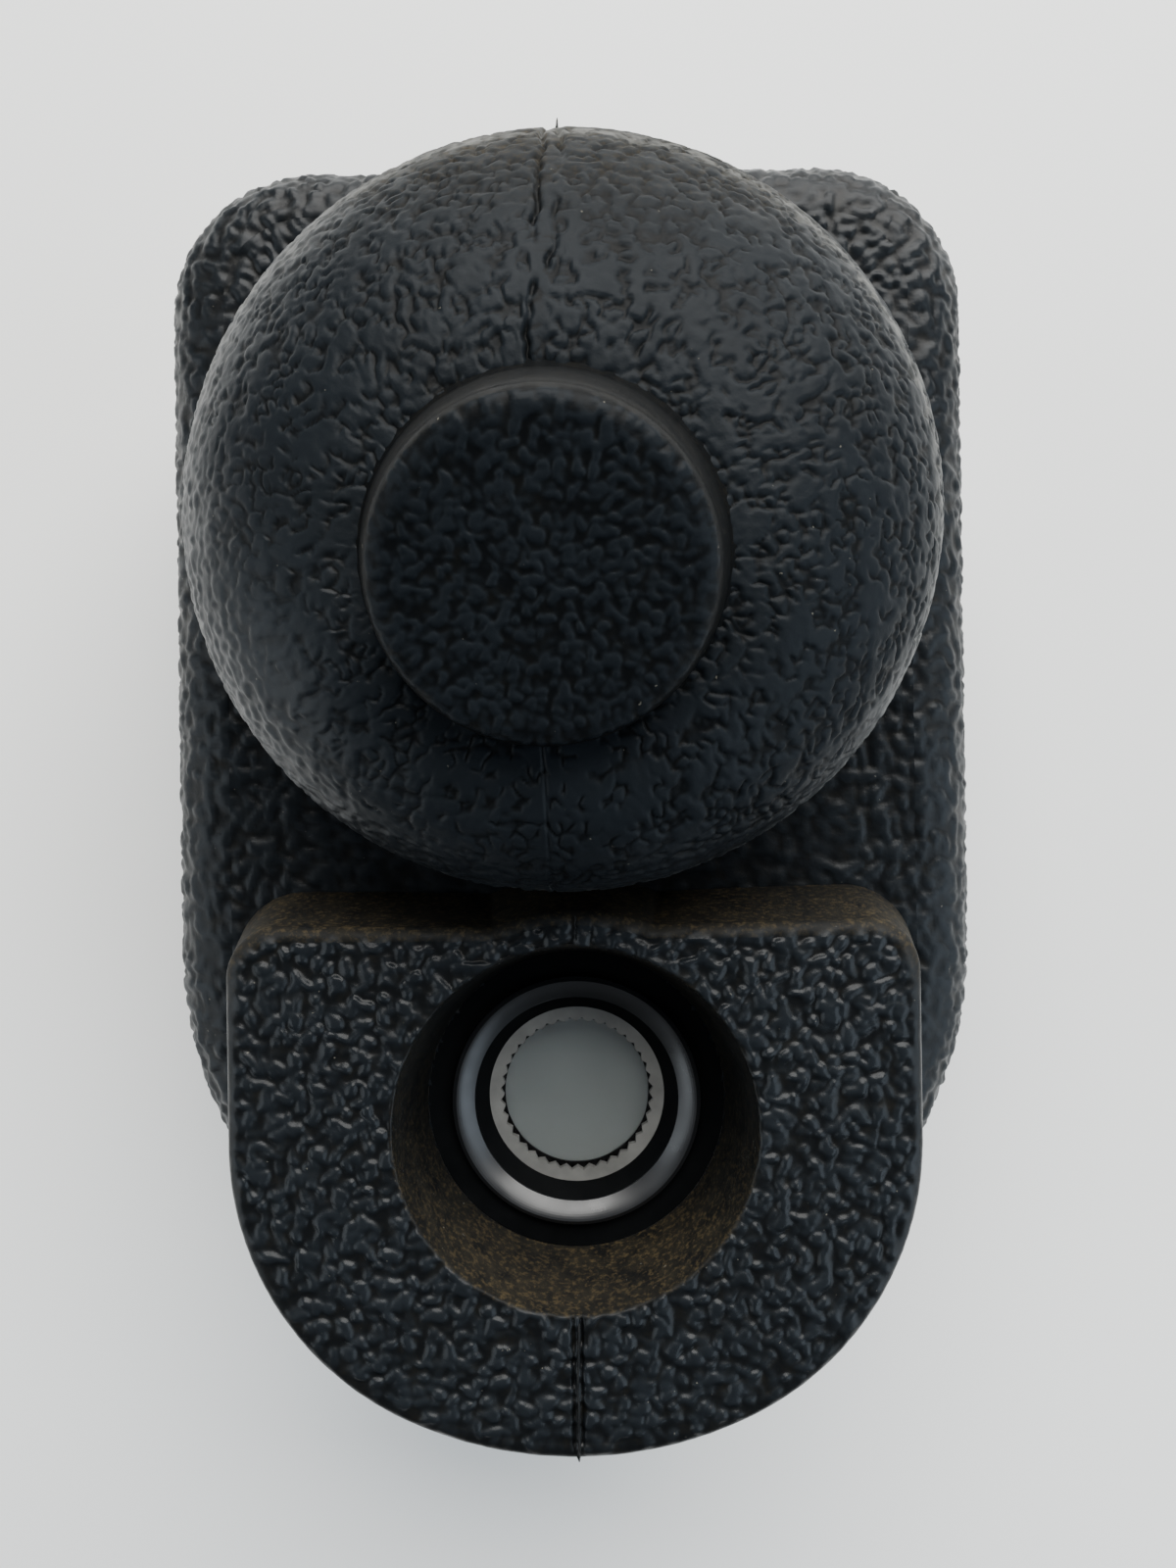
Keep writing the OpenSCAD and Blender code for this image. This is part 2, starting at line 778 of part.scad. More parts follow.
dome_steps = [for (a = [0:10:90]) dome_level(a)];
skirt_steps = [[cap_low, cap_r - 1.6, 0, right_y], [cap_low + 1, cap_r - 0.7, 0, right_y],
    [cap_low + 3, cap_r, 0, right_y]];

module stacked(levels, inset) {
    hull() for (l = levels) translate([l[2], l[3], l[0] - e])
        cylinder(h = e, r = l[1] - inset, $fn = cap_fn);
}

module cap_hollow() {
    inner = [for (l = dome_steps) if (l[0] > socket_top + 1 && l[1] > nub_r + cap_wall)
        [l[0] - cap_wall / 2, l[1], l[2], l[3]]];
    stacked(concat([[socket_top, socket_r + cap_wall - 0.6, 0, right_y - 2]], inner), cap_wall);
}

module nub() {
    translate([nub_x, nub_y, cap_wide + dome_h - 1]) rotate([nub_lean, 0, 0]) hull() {
        translate([0, 0, -4]) cylinder(h = e, r = nub_r - 0.4, $fn = cap_fn);
        translate([0, 0, nub_h * 0.6]) cylinder(h = e, r = nub_r - 0.8, $fn = cap_fn);
        translate([0, 0, nub_h * 0.85]) cylinder(h = e, r = nub_top_r + 1.6, $fn = cap_fn);
        translate([0, 0, nub_h]) cylinder(h = e, r = nub_top_r - 1, $fn = cap_fn);
    }
}

module lens_cap() {
    color(jacket) difference() {
        union() {
            stacked(concat(skirt_steps, dome_steps), 0);
            nub();
        }
        translate([0, right_y, cap_low - 2])
            cylinder(h = socket_top - cap_low + 2, r = socket_r, $fn = round_fn);
        cap_hollow();
    }
}

module cap_liner() {
    color("#2c2c2c") cap_hollow();
}

// ---------- both eyes ----------

module left_front_cell() { front_cell(left_y); }
module right_front_cell() { front_cell(right_y); }
module left_bezel() { bezel(left_y); }
module right_bezel() { bezel(right_y); }
module left_retaining_ring() { retaining_ring(left_y); }
module right_retaining_ring() { retaining_ring(right_y); }
module left_front_lens() { front_lens(left_y); }
module right_front_lens() { front_lens(right_y); }
module left_rear_cell() { rear_cell(left_y); }
module right_rear_cell() { rear_cell(right_y); }
module left_rear_lens() { rear_lens(left_y); }
module right_rear_lens() { rear_lens(right_y); }
module left_dark_chamber() { dark_chamber(left_y); }
module right_dark_chamber() { dark_chamber(right_y); }

shell();
tripod_bush();
left_lens_block();
right_lens_block();
block_screws();
cap_o_ring();
left_front_cell();
right_front_cell();
left_bezel();
right_bezel();
left_retaining_ring();
right_retaining_ring();
left_front_lens();
right_front_lens();
left_rear_cell();
right_rear_cell();
left_rear_lens();
right_rear_lens();
shutter_plate();
shutter_guides();
chassis_screws();
left_dark_chamber();
right_dark_chamber();
gate_plate();
top_side_plate();
bottom_side_plate();
idler_studs();
cassette_cradle();
film_cassette();
release_bracket();
hinge_pin();
light_seal();
shutter_slide();
shutter_spring();
release_button();
release_spring();
takeup_spool();
wind_shaft();
wind_knob();
takeup_gear();
idler_gear_a();
idler_gear_b();
sprocket();
sprocket_shaft();
sprocket_gear();
counter_dial();
cassette_spool();
film_roll();
rewind_shaft();
rewind_knob();
back_cover();
detent_balls();
pressure_plate();
pressure_springs();
lens_cap();
cap_liner();
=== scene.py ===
"""Looks of the stereo camera: grained rubber skins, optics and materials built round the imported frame.

Lengths are in metres. Grids of points are numpy arrays of shape (rows, columns, 3).
"""

import json
import math

import bpy
import numpy as np
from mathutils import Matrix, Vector


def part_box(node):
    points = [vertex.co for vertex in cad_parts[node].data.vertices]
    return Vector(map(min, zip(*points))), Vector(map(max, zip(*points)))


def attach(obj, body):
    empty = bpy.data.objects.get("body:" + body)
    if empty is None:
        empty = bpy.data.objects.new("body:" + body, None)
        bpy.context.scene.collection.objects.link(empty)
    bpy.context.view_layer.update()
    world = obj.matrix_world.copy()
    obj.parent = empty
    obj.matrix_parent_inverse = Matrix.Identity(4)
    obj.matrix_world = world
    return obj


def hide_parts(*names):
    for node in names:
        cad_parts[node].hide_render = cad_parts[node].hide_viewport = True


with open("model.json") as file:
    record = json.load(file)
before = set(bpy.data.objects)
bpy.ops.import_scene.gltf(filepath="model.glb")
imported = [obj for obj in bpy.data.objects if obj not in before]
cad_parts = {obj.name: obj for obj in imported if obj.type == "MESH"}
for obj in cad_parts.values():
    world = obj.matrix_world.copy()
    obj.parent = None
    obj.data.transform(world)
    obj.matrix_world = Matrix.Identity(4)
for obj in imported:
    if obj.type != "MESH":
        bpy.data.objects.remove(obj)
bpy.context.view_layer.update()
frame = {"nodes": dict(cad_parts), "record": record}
MM = 0.001

# ---------- driving dimensions, from the frame and the part's own design ----------

shell_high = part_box("shell")[1]
block_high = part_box("left_lens_block")[1]
cell_low, cell_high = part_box("left_front_cell")
right_cell_low, right_cell_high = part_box("right_front_cell")

HALF_W = shell_high.x
HALF_L = shell_high.y
FRONT = shell_high.z
TOP = block_high.z
LEFT_Y = (cell_low.y + cell_high.y) / 2
RIGHT_Y = (right_cell_low.y + right_cell_high.y) / 2
CORNER_R = 18 * MM
END_R = 42 * MM
END_Y = END_R - HALF_L
BULGE_Y = -20 * MM
DRAFT = 4.4 * MM
EDGE_R = 8 * MM
WIDEST = FRONT - EDGE_R
BLOCK_HALF = 38 * MM
BLOCK_END = -73.3 * MM
BLOCK_END_R = 44.4 * MM
BLOCK_SIDE_R = 33.3 * MM
BLOCK_CORNER_R = 5.5 * MM
BLOCK_CORNER_Y = -20.5 * MM
BLOCK_BULGE_R = 23.9 * MM
ROUND_R = 37 * MM
FLARE = 3 * MM
MOUTH_R = 20.1 * MM
FLOOR_R = 17.95 * MM
RECESS_FLOOR = cell_high.z
CAP_R = 42 * MM
CAP_WIDE = FRONT + 8 * MM
CAP_LOW = FRONT + 1.6 * MM
DOME_H = 24 * MM
NUB_R = 17.3 * MM
NUB_TOP_R = 14 * MM
NUB_AT = np.array([-1.8 * MM, RIGHT_Y - 10.25 * MM])
NUB_H = 9.5 * MM
NUB_LEAN = math.radians(19)
SOCKET_R = ROUND_R + 0.6 * MM
SOCKET_TOP = TOP + 0.4 * MM
GRAIN_DEEP = 0.42 * MM
BLOCK_GRAIN_DEEP = 0.44 * MM
CAP_GRAIN_DEEP = 0.36 * MM
NUB_GRAIN_DEEP = 0.2 * MM
CRACK_DEEP = 0.7 * MM
SEAM_DEEP = 0.5 * MM
BLOCK_EDGE_R = 1.3 * MM
MOUTH_LIP = 0.5 * MM
NUB_CORNER_R = 2.4 * MM
POCKETS = [("wind_knob", 11 * MM, 20 * MM), ("rewind_knob", 11.5 * MM, 30 * MM),
           ("counter_dial", 8 * MM, 30 * MM), ("release_button", 7 * MM, 30 * MM)]


# ---------- noise ----------

def hashed(cells, seed):
    """A repeatable number from 0 to 1 for each integer cell, shape (..., 3)."""
    c = cells.astype(np.int64)
    h = c[..., 0] * 73856093 ^ c[..., 1] * 19349663 ^ c[..., 2] * 83492791 ^ (seed * 2654435761)
    h = (h ^ (h >> 13)) * 1274126177
    h = h ^ (h >> 16)
    return (h & 0xFFFFFF) / float(0x1000000)


def smooth_noise(points, scale, seed=0):
    """Value noise from -1 to 1 with features of about scale metres."""
    p = points / scale
    base = np.floor(p)
    f = p - base
    f = f * f * (3 - 2 * f)
    total = np.zeros(len(p))
    for dx in (0, 1):
        for dy in (0, 1):
            for dz in (0, 1):
                w = (f[:, 0] if dx else 1 - f[:, 0]) * (f[:, 1] if dy else 1 - f[:, 1])
                w = w * (f[:, 2] if dz else 1 - f[:, 2])
                total += w * hashed(base + (dx, dy, dz), seed)
    return total * 2 - 1


def warped(points, cell, seed, warp):
    shift = [smooth_noise(points, cell * 1.2, seed + 11 + axis) for axis in range(3)]
    return (points + warp * cell * np.stack(shift, axis=1)) / cell


def neighbours(base, seed):
    """The 27 cells round each point: their own integer places and a jittered point in each."""
    for i in (-1, 0, 1):
        for j in (-1, 0, 1):
            for k in (-1, 0, 1):
                at = base + (i, j, k)
                yield at, at + np.stack([hashed(at, seed + s) for s in (1, 2, 3)], axis=-1)


def grooves(points, cell, seed, width, labels=3):
    """Flat plateaus at 1 split by narrow grooves at 0; cells that share a label run together."""
    p = warped(points, cell, seed, 0.35)
    best = np.full((labels, len(p)), 9.0)
    for at, centre in neighbours(np.floor(p), seed):
        d = np.linalg.norm(centre - p, axis=1)
        label = (hashed(at, seed + 4) * labels).astype(int)
        for k in range(labels):
            best[k] = np.where((label == k) & (d < best[k]), d, best[k])
    order = np.sort(best, axis=0)
    apart = (order[1] - order[0]) * cell / 2
    return 1 - np.exp(-(apart / width) ** 2 * 1.6)


def lumps(points, cell, seed, spread=0.36):
    """Rounded blobs that run together into short worms: a sum of bells round jittered points."""
    p = warped(points, cell, seed, 0.3)
    total = np.zeros(len(p))
    for at, centre in neighbours(np.floor(p), seed):
        weight = 0.45 + 0.75 * hashed(at, seed + 5)
        total += weight * np.exp(-((centre - p) ** 2).sum(axis=1) / (2 * spread ** 2))
    return total


def pebbled(points, seed, cell=1.08 * MM):
    """The deep moulded grain, from 0 in its gaps to about 1 on its worms."""
    field = lumps(points, cell, seed)
    level = 0.5 + 0.5 * smooth_noise(points, cell * 1.6, seed + 70)
    top = soft_step(0.02, 1.1, field) * (0.7 + 0.3 * level) + 0.2 * soft_step(0.7, 1.7, field)
    return top + 0.03 * smooth_noise(points, cell * 0.3, seed + 80)


def worn_flat(points, seed, cell=1.35 * MM):
    """The same grain worn flat: plateaus split by thin grooves that come and go."""
    flat = grooves(points, cell, seed, 0.22 * MM)
    fade = soft_step(-0.55, 0.25, smooth_noise(points, cell * 0.9, seed + 77))
    ripple = smooth_noise(points, cell * 0.5, seed + 80)
    return 0.85 - 0.85 * (1 - flat) * fade + 0.12 * ripple


def soft_step(low, high, x):
    t = np.clip((x - low) / (high - low), 0, 1)
    return t * t * (3 - 2 * t)


# ---------- meshes ----------

def grid_normals(grid, wrap=True):
    """Outward normals of a grid whose rows run up and whose columns run anticlockwise."""
    if wrap:
        across = np.roll(grid, -1, axis=1) - np.roll(grid, 1, axis=1)
    else:
        across = np.gradient(grid, axis=1)
    along = np.gradient(grid, axis=0)
    n = np.cross(across, along)
    length = np.linalg.norm(n, axis=2, keepdims=True)
    return n / np.maximum(length, 1e-12)


def make_mesh(name, verts, faces):
    mesh = bpy.data.meshes.new(name)
    mesh.from_pydata([tuple(v) for v in verts], [], faces)
    mesh.validate()
    mesh.update()
    piece = bpy.data.objects.new(name, mesh)
    bpy.context.scene.collection.objects.link(piece)
    return piece


def grid_mesh(name, grid, keep=None, wrap=True, values=None):
    """A mesh from a grid; keep says which points stay, and values are point attributes."""
    rows, cols = grid.shape[:2]
    index = np.arange(rows * cols).reshape(rows, cols)
    right = np.roll(index, -1, axis=1)
    if not wrap:
        index, right = index[:, :-1], right[:, :-1]
    quads = np.stack([index[:-1], right[:-1], right[1:], index[1:]], axis=-1).reshape(-1, 4)
    verts = grid.reshape(-1, 3)
    if keep is not None:
        quads = quads[keep.reshape(-1)[quads].any(axis=1)]
    used = np.unique(quads)
    renumber = np.zeros(len(verts), int)
    renumber[used] = np.arange(len(used))
    mesh = bpy.data.meshes.new(name)
    mesh.vertices.add(len(used))
    mesh.vertices.foreach_set("co", verts[used].astype(np.float32).ravel())
    mesh.loops.add(len(quads) * 4)
    mesh.loops.foreach_set("vertex_index", renumber[quads].astype(np.int32).ravel())
    mesh.polygons.add(len(quads))
    mesh.polygons.foreach_set("loop_start", np.arange(0, len(quads) * 4, 4, dtype=np.int32))
    mesh.polygons.foreach_set("use_smooth", np.ones(len(quads), bool))
    mesh.update(calc_edges=True)
    for label, data in (values or {}).items():
        layer = mesh.attributes.new(label, "FLOAT", "POINT")
        layer.data.foreach_set("value", data.reshape(-1)[used].astype(np.float32))
    mesh.validate()
    piece = bpy.data.objects.new(name, mesh)
    bpy.context.scene.collection.objects.link(piece)
    return piece


# ---------- outlines ----------

def arc_points(arcs, step=0.1 * MM):
    """Points and outward normals along arcs (x, y, r, from, to) joined by straight lines."""
    points, normals = [], []
    for x, y, r, start, stop in arcs:
        count = max(3, int(abs(math.radians(stop - start)) * r / step))
        a = np.radians(np.linspace(start, stop, count))
        n = np.stack([np.cos(a), np.sin(a)], axis=1)
        points.append(np.array([x, y]) + r * n)
        normals.append(n)
    return np.concatenate(points), np.concatenate(normals)


def resampled(points, normals, count):
    """The closed outline at count evenly spaced places."""
    loop = np.concatenate([points, points[:1]])
    along = np.concatenate([[0], np.cumsum(np.linalg.norm(np.diff(loop, axis=0), axis=1))])
    turning = np.concatenate([normals, normals[:1]])
    at = np.linspace(0, along[-1], count, endpoint=False)
    p = np.stack([np.interp(at, along, loop[:, k]) for k in (0, 1)], axis=1)
    n = np.stack([np.interp(at, along, turning[:, k]) for k in (0, 1)], axis=1)
    return p, n / np.linalg.norm(n, axis=1, keepdims=True)


def body_outline(count):
    """The body from above: a round low end, bulging sides and two round corners at the other end."""
    turn = math.degrees(math.asin((HALF_W - END_R) / (BULGE_Y - END_Y)))
    x, y = HALF_W - CORNER_R, HALF_L - CORNER_R
    return resampled(*arc_points([
        (0, END_Y, END_R, -90, -turn), (0, BULGE_Y, HALF_W, -turn, 0), (x, y, CORNER_R, 0, 90),
        (-x, y, CORNER_R, 90, 180), (0, BULGE_Y, HALF_W, 180, 180 + turn),
        (0, END_Y, END_R, 180 + turn, 270)]), count)


def block_outline(count):
    """The D-shaped block from above, with the swell of its upper side round the eye."""
    x = BLOCK_HALF - BLOCK_CORNER_R
    side_x = BLOCK_HALF - BLOCK_SIDE_R
    end_y = BLOCK_END + BLOCK_END_R
    join = math.degrees(math.asin(side_x / (BLOCK_END_R - BLOCK_SIDE_R)))
    side_y = end_y - (BLOCK_END_R - BLOCK_SIDE_R) * math.cos(math.radians(join))
    edge_y = BLOCK_CORNER_Y + BLOCK_CORNER_R
    swell = math.degrees(math.acos((edge_y - LEFT_Y) / BLOCK_BULGE_R)) + 2
    return resampled(*arc_points([
        (-side_x, side_y, BLOCK_SIDE_R, -180, -90 - join), (0, end_y, BLOCK_END_R, -90 - join, -90 + join),
        (side_x, side_y, BLOCK_SIDE_R, -90 + join, 0), (x, BLOCK_CORNER_Y, BLOCK_CORNER_R, 0, 90),
        (0, LEFT_Y, BLOCK_BULGE_R, 90 - swell, 90 + swell),
        (-x, BLOCK_CORNER_Y, BLOCK_CORNER_R, 90, 180)]), count)


def round_outline(count):
    return resampled(*arc_points([(0, RIGHT_Y, ROUND_R, 0, 360)]), count)


def raised(grid, amount):
    """The grid moved out along its normals by amount."""
    return grid + grid_normals(grid) * amount[..., None]


# ---------- armoured skin of the body ----------

def body_skin(cols=900):
    """The grained skin of the body, as its sides with the rounded edge, and its front face."""
    outline, out = body_outline(cols)
    side = [(DRAFT * (1 - z / WIDEST), z) for z in np.linspace(0.7 * MM, WIDEST, 92)]
    turn = [(EDGE_R * (1 - math.cos(a)), WIDEST + EDGE_R * math.sin(a))
            for a in np.linspace(0, math.pi / 2, 29)[1:]]
    flat = [(inset, FRONT) for inset in np.linspace(EDGE_R, 15.5 * MM, 21)[1:]]
    grid = np.array([np.column_stack([outline - inset * out, np.full(cols, z)])
                     for inset, z in side + turn + flat])
    spine = np.column_stack([np.zeros(cols), np.clip(outline[:, 1], -46 * MM, 46 * MM)])
    spine = np.column_stack([spine, np.full(cols, FRONT)])
    inner = [grid[-1] * (1 - t) + spine * t for t in np.linspace(0, 1, 44)[1:]]
    grid = np.concatenate([grid, np.array(inner)])
    shape = grid.shape[:2]
    keep = np.ones(shape, bool)
    sunk = np.zeros(shape, bool)
    sunk[0] = True
    for node, radius, least_x in POCKETS:
        low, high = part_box(node)
        centre = np.array([(low.y + high.y) / 2, (low.z + high.z) / 2])
        reach = radius + 0.3 * MM
        gap = grid[..., 1:] - centre
        d = np.linalg.norm(gap, axis=2)
        inside = (d < reach) & (grid[..., 0] > least_x) & (grid[..., 2] < WIDEST + 2 * MM)
        keep &= ~inside
        near = inside & (d > reach - 1.2 * MM)
        snapped = centre + gap * (reach / np.maximum(d, 1e-9))[..., None]
        grid[..., 1:] = np.where(near[..., None], snapped, grid[..., 1:])
        sunk |= near
    seat = np.linalg.norm(grid[..., 1:] - (0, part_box("tripod_bush")[0].z + 8.5 * MM), axis=2)
    keep &= ~((seat < 10.3 * MM) & (grid[..., 0] < -30 * MM) & (grid[..., 2] < WIDEST))
    for y in (LEFT_Y, RIGHT_Y):
        hole = np.hypot(grid[..., 0], grid[..., 1] - y) < 18.4 * MM
        keep &= ~(hole & (grid[..., 2] > FRONT - 0.1 * MM))
    grain = pebbled(grid.reshape(-1, 3), seed=3).reshape(shape)
    grid = raised(grid, np.where(sunk, -0.03 * MM, 0.04 * MM + GRAIN_DEEP * grain))
    edge = len(side) + len(turn)
    sides = grid_mesh("armour_sides", grid[:edge], keep[:edge], values={"grain": grain[:edge]})
    face = grid_mesh("armour_front", grid[edge - 1:], keep[edge - 1:], values={"grain": grain[edge - 1:]})
    return sides, face


# ---------- lens blocks ----------

def block_mesh(name, outline, centre_y, flare, cols, seed, base, rows_top=100):
    """A lens block as one skin: outer wall, grained face, and the flared wall of its recess."""
    points, out = outline(cols)
    edge = BLOCK_EDGE_R
    slope = flare / (TOP - FRONT)
    levels = [(-slope * (TOP - max(z, FRONT)), z) for z in np.linspace(base, TOP - edge, 14)]
    levels += [(edge * (1 - math.cos(a)) - slope * edge * math.cos(a), TOP - edge + edge * math.sin(a))
               for a in np.linspace(0, math.pi / 2, 10)[1:]]
    rows = [np.column_stack([points - inset * out, np.full(cols, z)]) for inset, z in levels]
    wall_rows = len(rows) - 3
    centre = np.array([0, centre_y])
    away = points - centre
    ray = away / np.linalg.norm(away, axis=1, keepdims=True)
    lip = MOUTH_LIP
    mouth = centre + ray * (MOUTH_R + lip)
    outer = rows[-1][:, :2]
    for t in np.linspace(0, 1, rows_top)[1:]:
        rows.append(np.column_stack([outer * (1 - t) + mouth * t, np.full(cols, TOP)]))
    face_end = len(rows)
    for a in np.linspace(0, math.pi / 2, 6)[1:]:
        r = MOUTH_R + lip * (1 - math.sin(a))
        rows.append(np.column_stack([centre + ray * r, np.full(cols, TOP - lip * (1 - math.cos(a)))]))
    for t in np.linspace(0, 1, 16)[1:]:
        z = (TOP - lip) * (1 - t) + (RECESS_FLOOR - 0.1 * MM) * t
        r = MOUTH_R * (1 - t) + FLOOR_R * t
        rows.append(np.column_stack([centre + ray * r, np.full(cols, z)]))
    grid = np.array(rows)
    shape = grid.shape[:2]
    flat = grid.reshape(-1, 3)
    grain = pebbled(flat, seed).reshape(shape)
    rough = smooth_noise(flat, 0.9 * MM, seed + 5).reshape(shape)
    wave = smooth_noise(flat, 7 * MM, seed + 6).reshape(shape)
    row = np.arange(shape[0])[:, None] + np.zeros(shape[1])[None, :]
    on_face = soft_step(wall_rows - 4, wall_rows + 5, row)
    on_face = on_face * (1 - soft_step(face_end - 1, face_end + 3, row))
    amount = on_face * (BLOCK_GRAIN_DEEP * grain - 0.22 * MM + 0.1 * MM * wave)
    amount = amount + (1 - on_face) * 0.02 * MM * rough
    # Dust on the smooth walls, together with painted light: the recess is painted lighter towards its
    # lower wall, which faces the window, and the outer wall on the block's upper side is painted lighter
    # where light falls.
    down = np.clip((centre_y - grid[..., 1]) / MOUTH_R, -1, 1)
    recess = 0.25 + 0.75 * soft_step(-0.1, 0.8, down)
    outer_top = (flare > 0) * soft_step(BLOCK_CORNER_Y - 4 * MM, BLOCK_CORNER_Y + 4 * MM, grid[..., 1])
    dust = (1 - on_face) * np.where(row < wall_rows + 4, outer_top, recess)
    seam_at = np.abs(grid[..., 0] + 0.1 * MM)
    below = on_face * (grid[..., 1] < centre_y - MOUTH_R)
    seam = below * np.exp(-((seam_at - 0.42 * MM) / (0.2 * MM)) ** 2)
    amount = amount - SEAM_DEEP * seam
    # Grain is zero off the face and in the seam, so the walls, the recess and the seam groove take the
    # rubber's painted gap shade.
    grain = grain * on_face * (1 - seam)
    return grid_mesh(name, raised(grid, amount), values={"grain": grain, "wall": dust})


# ---------- cap ----------

def noise_along(y, scale, seed):
    """A wander that depends on y alone."""
    flat = np.zeros((y.size, 3))
    flat[:, 1] = y.ravel()
    return smooth_noise(flat, scale, seed).reshape(y.shape)


def parting_x(y):
    """Where the wandering parting line of the mould crosses the upper dome."""
    return -0.6 * MM - (RIGHT_Y + CAP_R - y) * 0.05 + 0.3 * MM * noise_along(y, 2.2 * MM, 5)


def cap_levels():
    """Rings of the cap from its socket's ceiling out, over the dome and in to the nub's middle.

    Each is (centre, radius, tilt, part), where part is 0 inside, 1 dome, 2 nub side, 3 nub top.
    """
    low = np.array([0, RIGHT_Y])
    levels = []

    def add(x, y, z, r, tilt, part):
        levels.append((np.array([x, y, z]), r, tilt, part))

    for z in np.linspace(SOCKET_TOP, CAP_LOW + 0.5 * MM, 12):
        add(*low, z, SOCKET_R, 0, 0)
    add(*low, CAP_LOW, SOCKET_R + 0.5 * MM, 0, 0)
    add(*low, CAP_LOW, SOCKET_R + 2.4 * MM, 0, 0)
    skirt = CAP_WIDE - CAP_LOW
    for a in np.linspace(0, math.pi / 2, 15)[1:]:
        r = CAP_R - 2.2 * MM * (1 - math.sin(a))
        add(*low, CAP_LOW + skirt * (1 - math.cos(a)), r, 0, 1)
    base = CAP_WIDE + DOME_H
    for a in np.radians(np.linspace(0, 90, 136)[1:]):
        up = math.sin(a)
        middle = low + (NUB_AT - low) * up ** 1.3
        add(*middle, CAP_WIDE + DOME_H * up, NUB_R + (CAP_R - NUB_R) * math.cos(a), 0, 1)
    corner = NUB_CORNER_R
    add(*NUB_AT, base - 0.3 * MM, NUB_R + 1.2 * MM, 0, 2)
    for t in np.linspace(0, 1, 20)[1:]:
        rise = NUB_H * t * 0.8
        r = NUB_R + 0.4 * MM * math.exp(-t * 9) - (NUB_R - NUB_TOP_R - corner * 0.8) * t ** 1.5
        add(NUB_AT[0], NUB_AT[1] - NUB_H * t * math.sin(NUB_LEAN), base + rise * math.cos(NUB_LEAN),
            r, NUB_LEAN * min(1, t * 1.1), 2)
    last, out_r = levels[-1][:2]
    axis = np.array([0, -math.sin(NUB_LEAN), math.cos(NUB_LEAN)])
    for a in np.linspace(0, math.pi / 2, 9)[1:]:
        at = last + axis * corner * math.sin(a)
        add(*at, out_r - corner * (1 - math.cos(a)), NUB_LEAN, 2 if a < 0.6 else 3)
    flat_r = out_r - corner
    for t in np.linspace(0, 1, 64)[1:]:
        at = last + axis * (corner + 0.3 * MM * t)
        add(*at, max(flat_r * (1 - t), 0.02 * MM), NUB_LEAN, 3)
    return levels


def cap_mesh(name, cols, first, last):
    """The part of the cap's skin between two kinds of level: its dome, or its nub."""
    levels = [l for l in cap_levels() if first <= l[3] <= last]
    turns = np.linspace(0, 2 * math.pi, cols, endpoint=False)
    grid = np.zeros((len(levels), cols, 3))
    for i, (centre, r, tilt, _) in enumerate(levels):
        grid[i, :, 0] = centre[0] + r * np.cos(turns)
        grid[i, :, 1] = centre[1] + r * np.sin(turns) * math.cos(tilt)
        grid[i, :, 2] = centre[2] + r * np.sin(turns) * math.sin(tilt)
    shape = grid.shape[:2]
    part = np.array([l[3] for l in levels])[:, None] + np.zeros(cols)[None, :]
    dome = (part == 1) * 1.0
    flat = grid.reshape(-1, 3)
    x, y, z = grid[..., 0], grid[..., 1], grid[..., 2]
    worn = worn_flat(flat, 21).reshape(shape)
    round_grain = pebbled(flat, 23, 1.0 * MM).reshape(shape)
    patch = smooth_noise(flat, 9 * MM, 4).reshape(shape)
    lower_left = (CAP_WIDE + 13 * MM - z) / (12 * MM) - (y - RIGHT_Y + x) / (60 * MM)
    side = soft_step(-0.4, 0.9, lower_left + 0.5 * patch)
    grain = worn * (1 - side) + (0.25 + 0.75 * round_grain) * side
    fine = pebbled(flat, 33, 0.75 * MM).reshape(shape)
    rough = smooth_noise(flat, 0.8 * MM, 9).reshape(shape)
    amount = dome * CAP_GRAIN_DEEP * grain + (part == 3) * NUB_GRAIN_DEEP * fine
    amount += ((part == 2) | (part == 0)) * 0.02 * MM * rough
    upper = dome * (y > NUB_AT[1]) * (z > CAP_WIDE - 5 * MM)
    middle = parting_x(y)
    strip = np.exp(-((x - middle) / (0.85 * MM)) ** 4)
    amount = np.where(upper > 0, amount * (1 - 0.8 * strip) + strip * 0.12 * MM, amount)
    cracks = np.zeros(shape)
    for edge, seed in ((-1.0 * MM, 8), (0.9 * MM, 18)):
        jag = 0.35 * MM * noise_along(y, 1.0 * MM, seed)
        depth = soft_step(-0.6, 0.2, noise_along(y, 3 * MM, seed + 1))
        cracks += upper * depth * np.exp(-((x - middle - edge - jag) / (0.28 * MM)) ** 2)
    amount = amount - CRACK_DEEP * cracks
    lower = dome * (y < NUB_AT[1] - 8 * MM) * (z > CAP_WIDE)
    seam_x = -3.2 * MM + (NUB_AT[1] - y) * 0.045 + 0.1 * MM * noise_along(y, 1.5 * MM, 4)
    seam = np.exp(-((x - seam_x) / (0.16 * MM)) ** 2)
    amount = np.where(lower > 0, amount - 0.25 * MM * seam, amount)
    # A band round the dome above its widest ring, painted lighter: partly wear, partly a painted grazing
    # highlight along the rim.
    rim = np.exp(-((z - CAP_WIDE - 8 * MM) / (2 * MM)) ** 2) * dome
    dusty = dome * soft_step(20 * MM, 42 * MM, y - RIGHT_Y)
    # The grain attribute also sets colour: the gaps, the cracks along the parting line, and the ungrained
    # nub side and socket take the painted gap shade.
    values = {
        "grain": grain * dome * (1 - np.clip(cracks, 0, 1)) + fine * (part == 3),
        "worn": rim,
        "dusty": dusty * 0.6 + (part == 2) * 0.05,
        "shine": dome * side,
    }
    return grid_mesh(name, raised(grid, amount), values=values)


# ---------- moulding flash along the parting line ----------

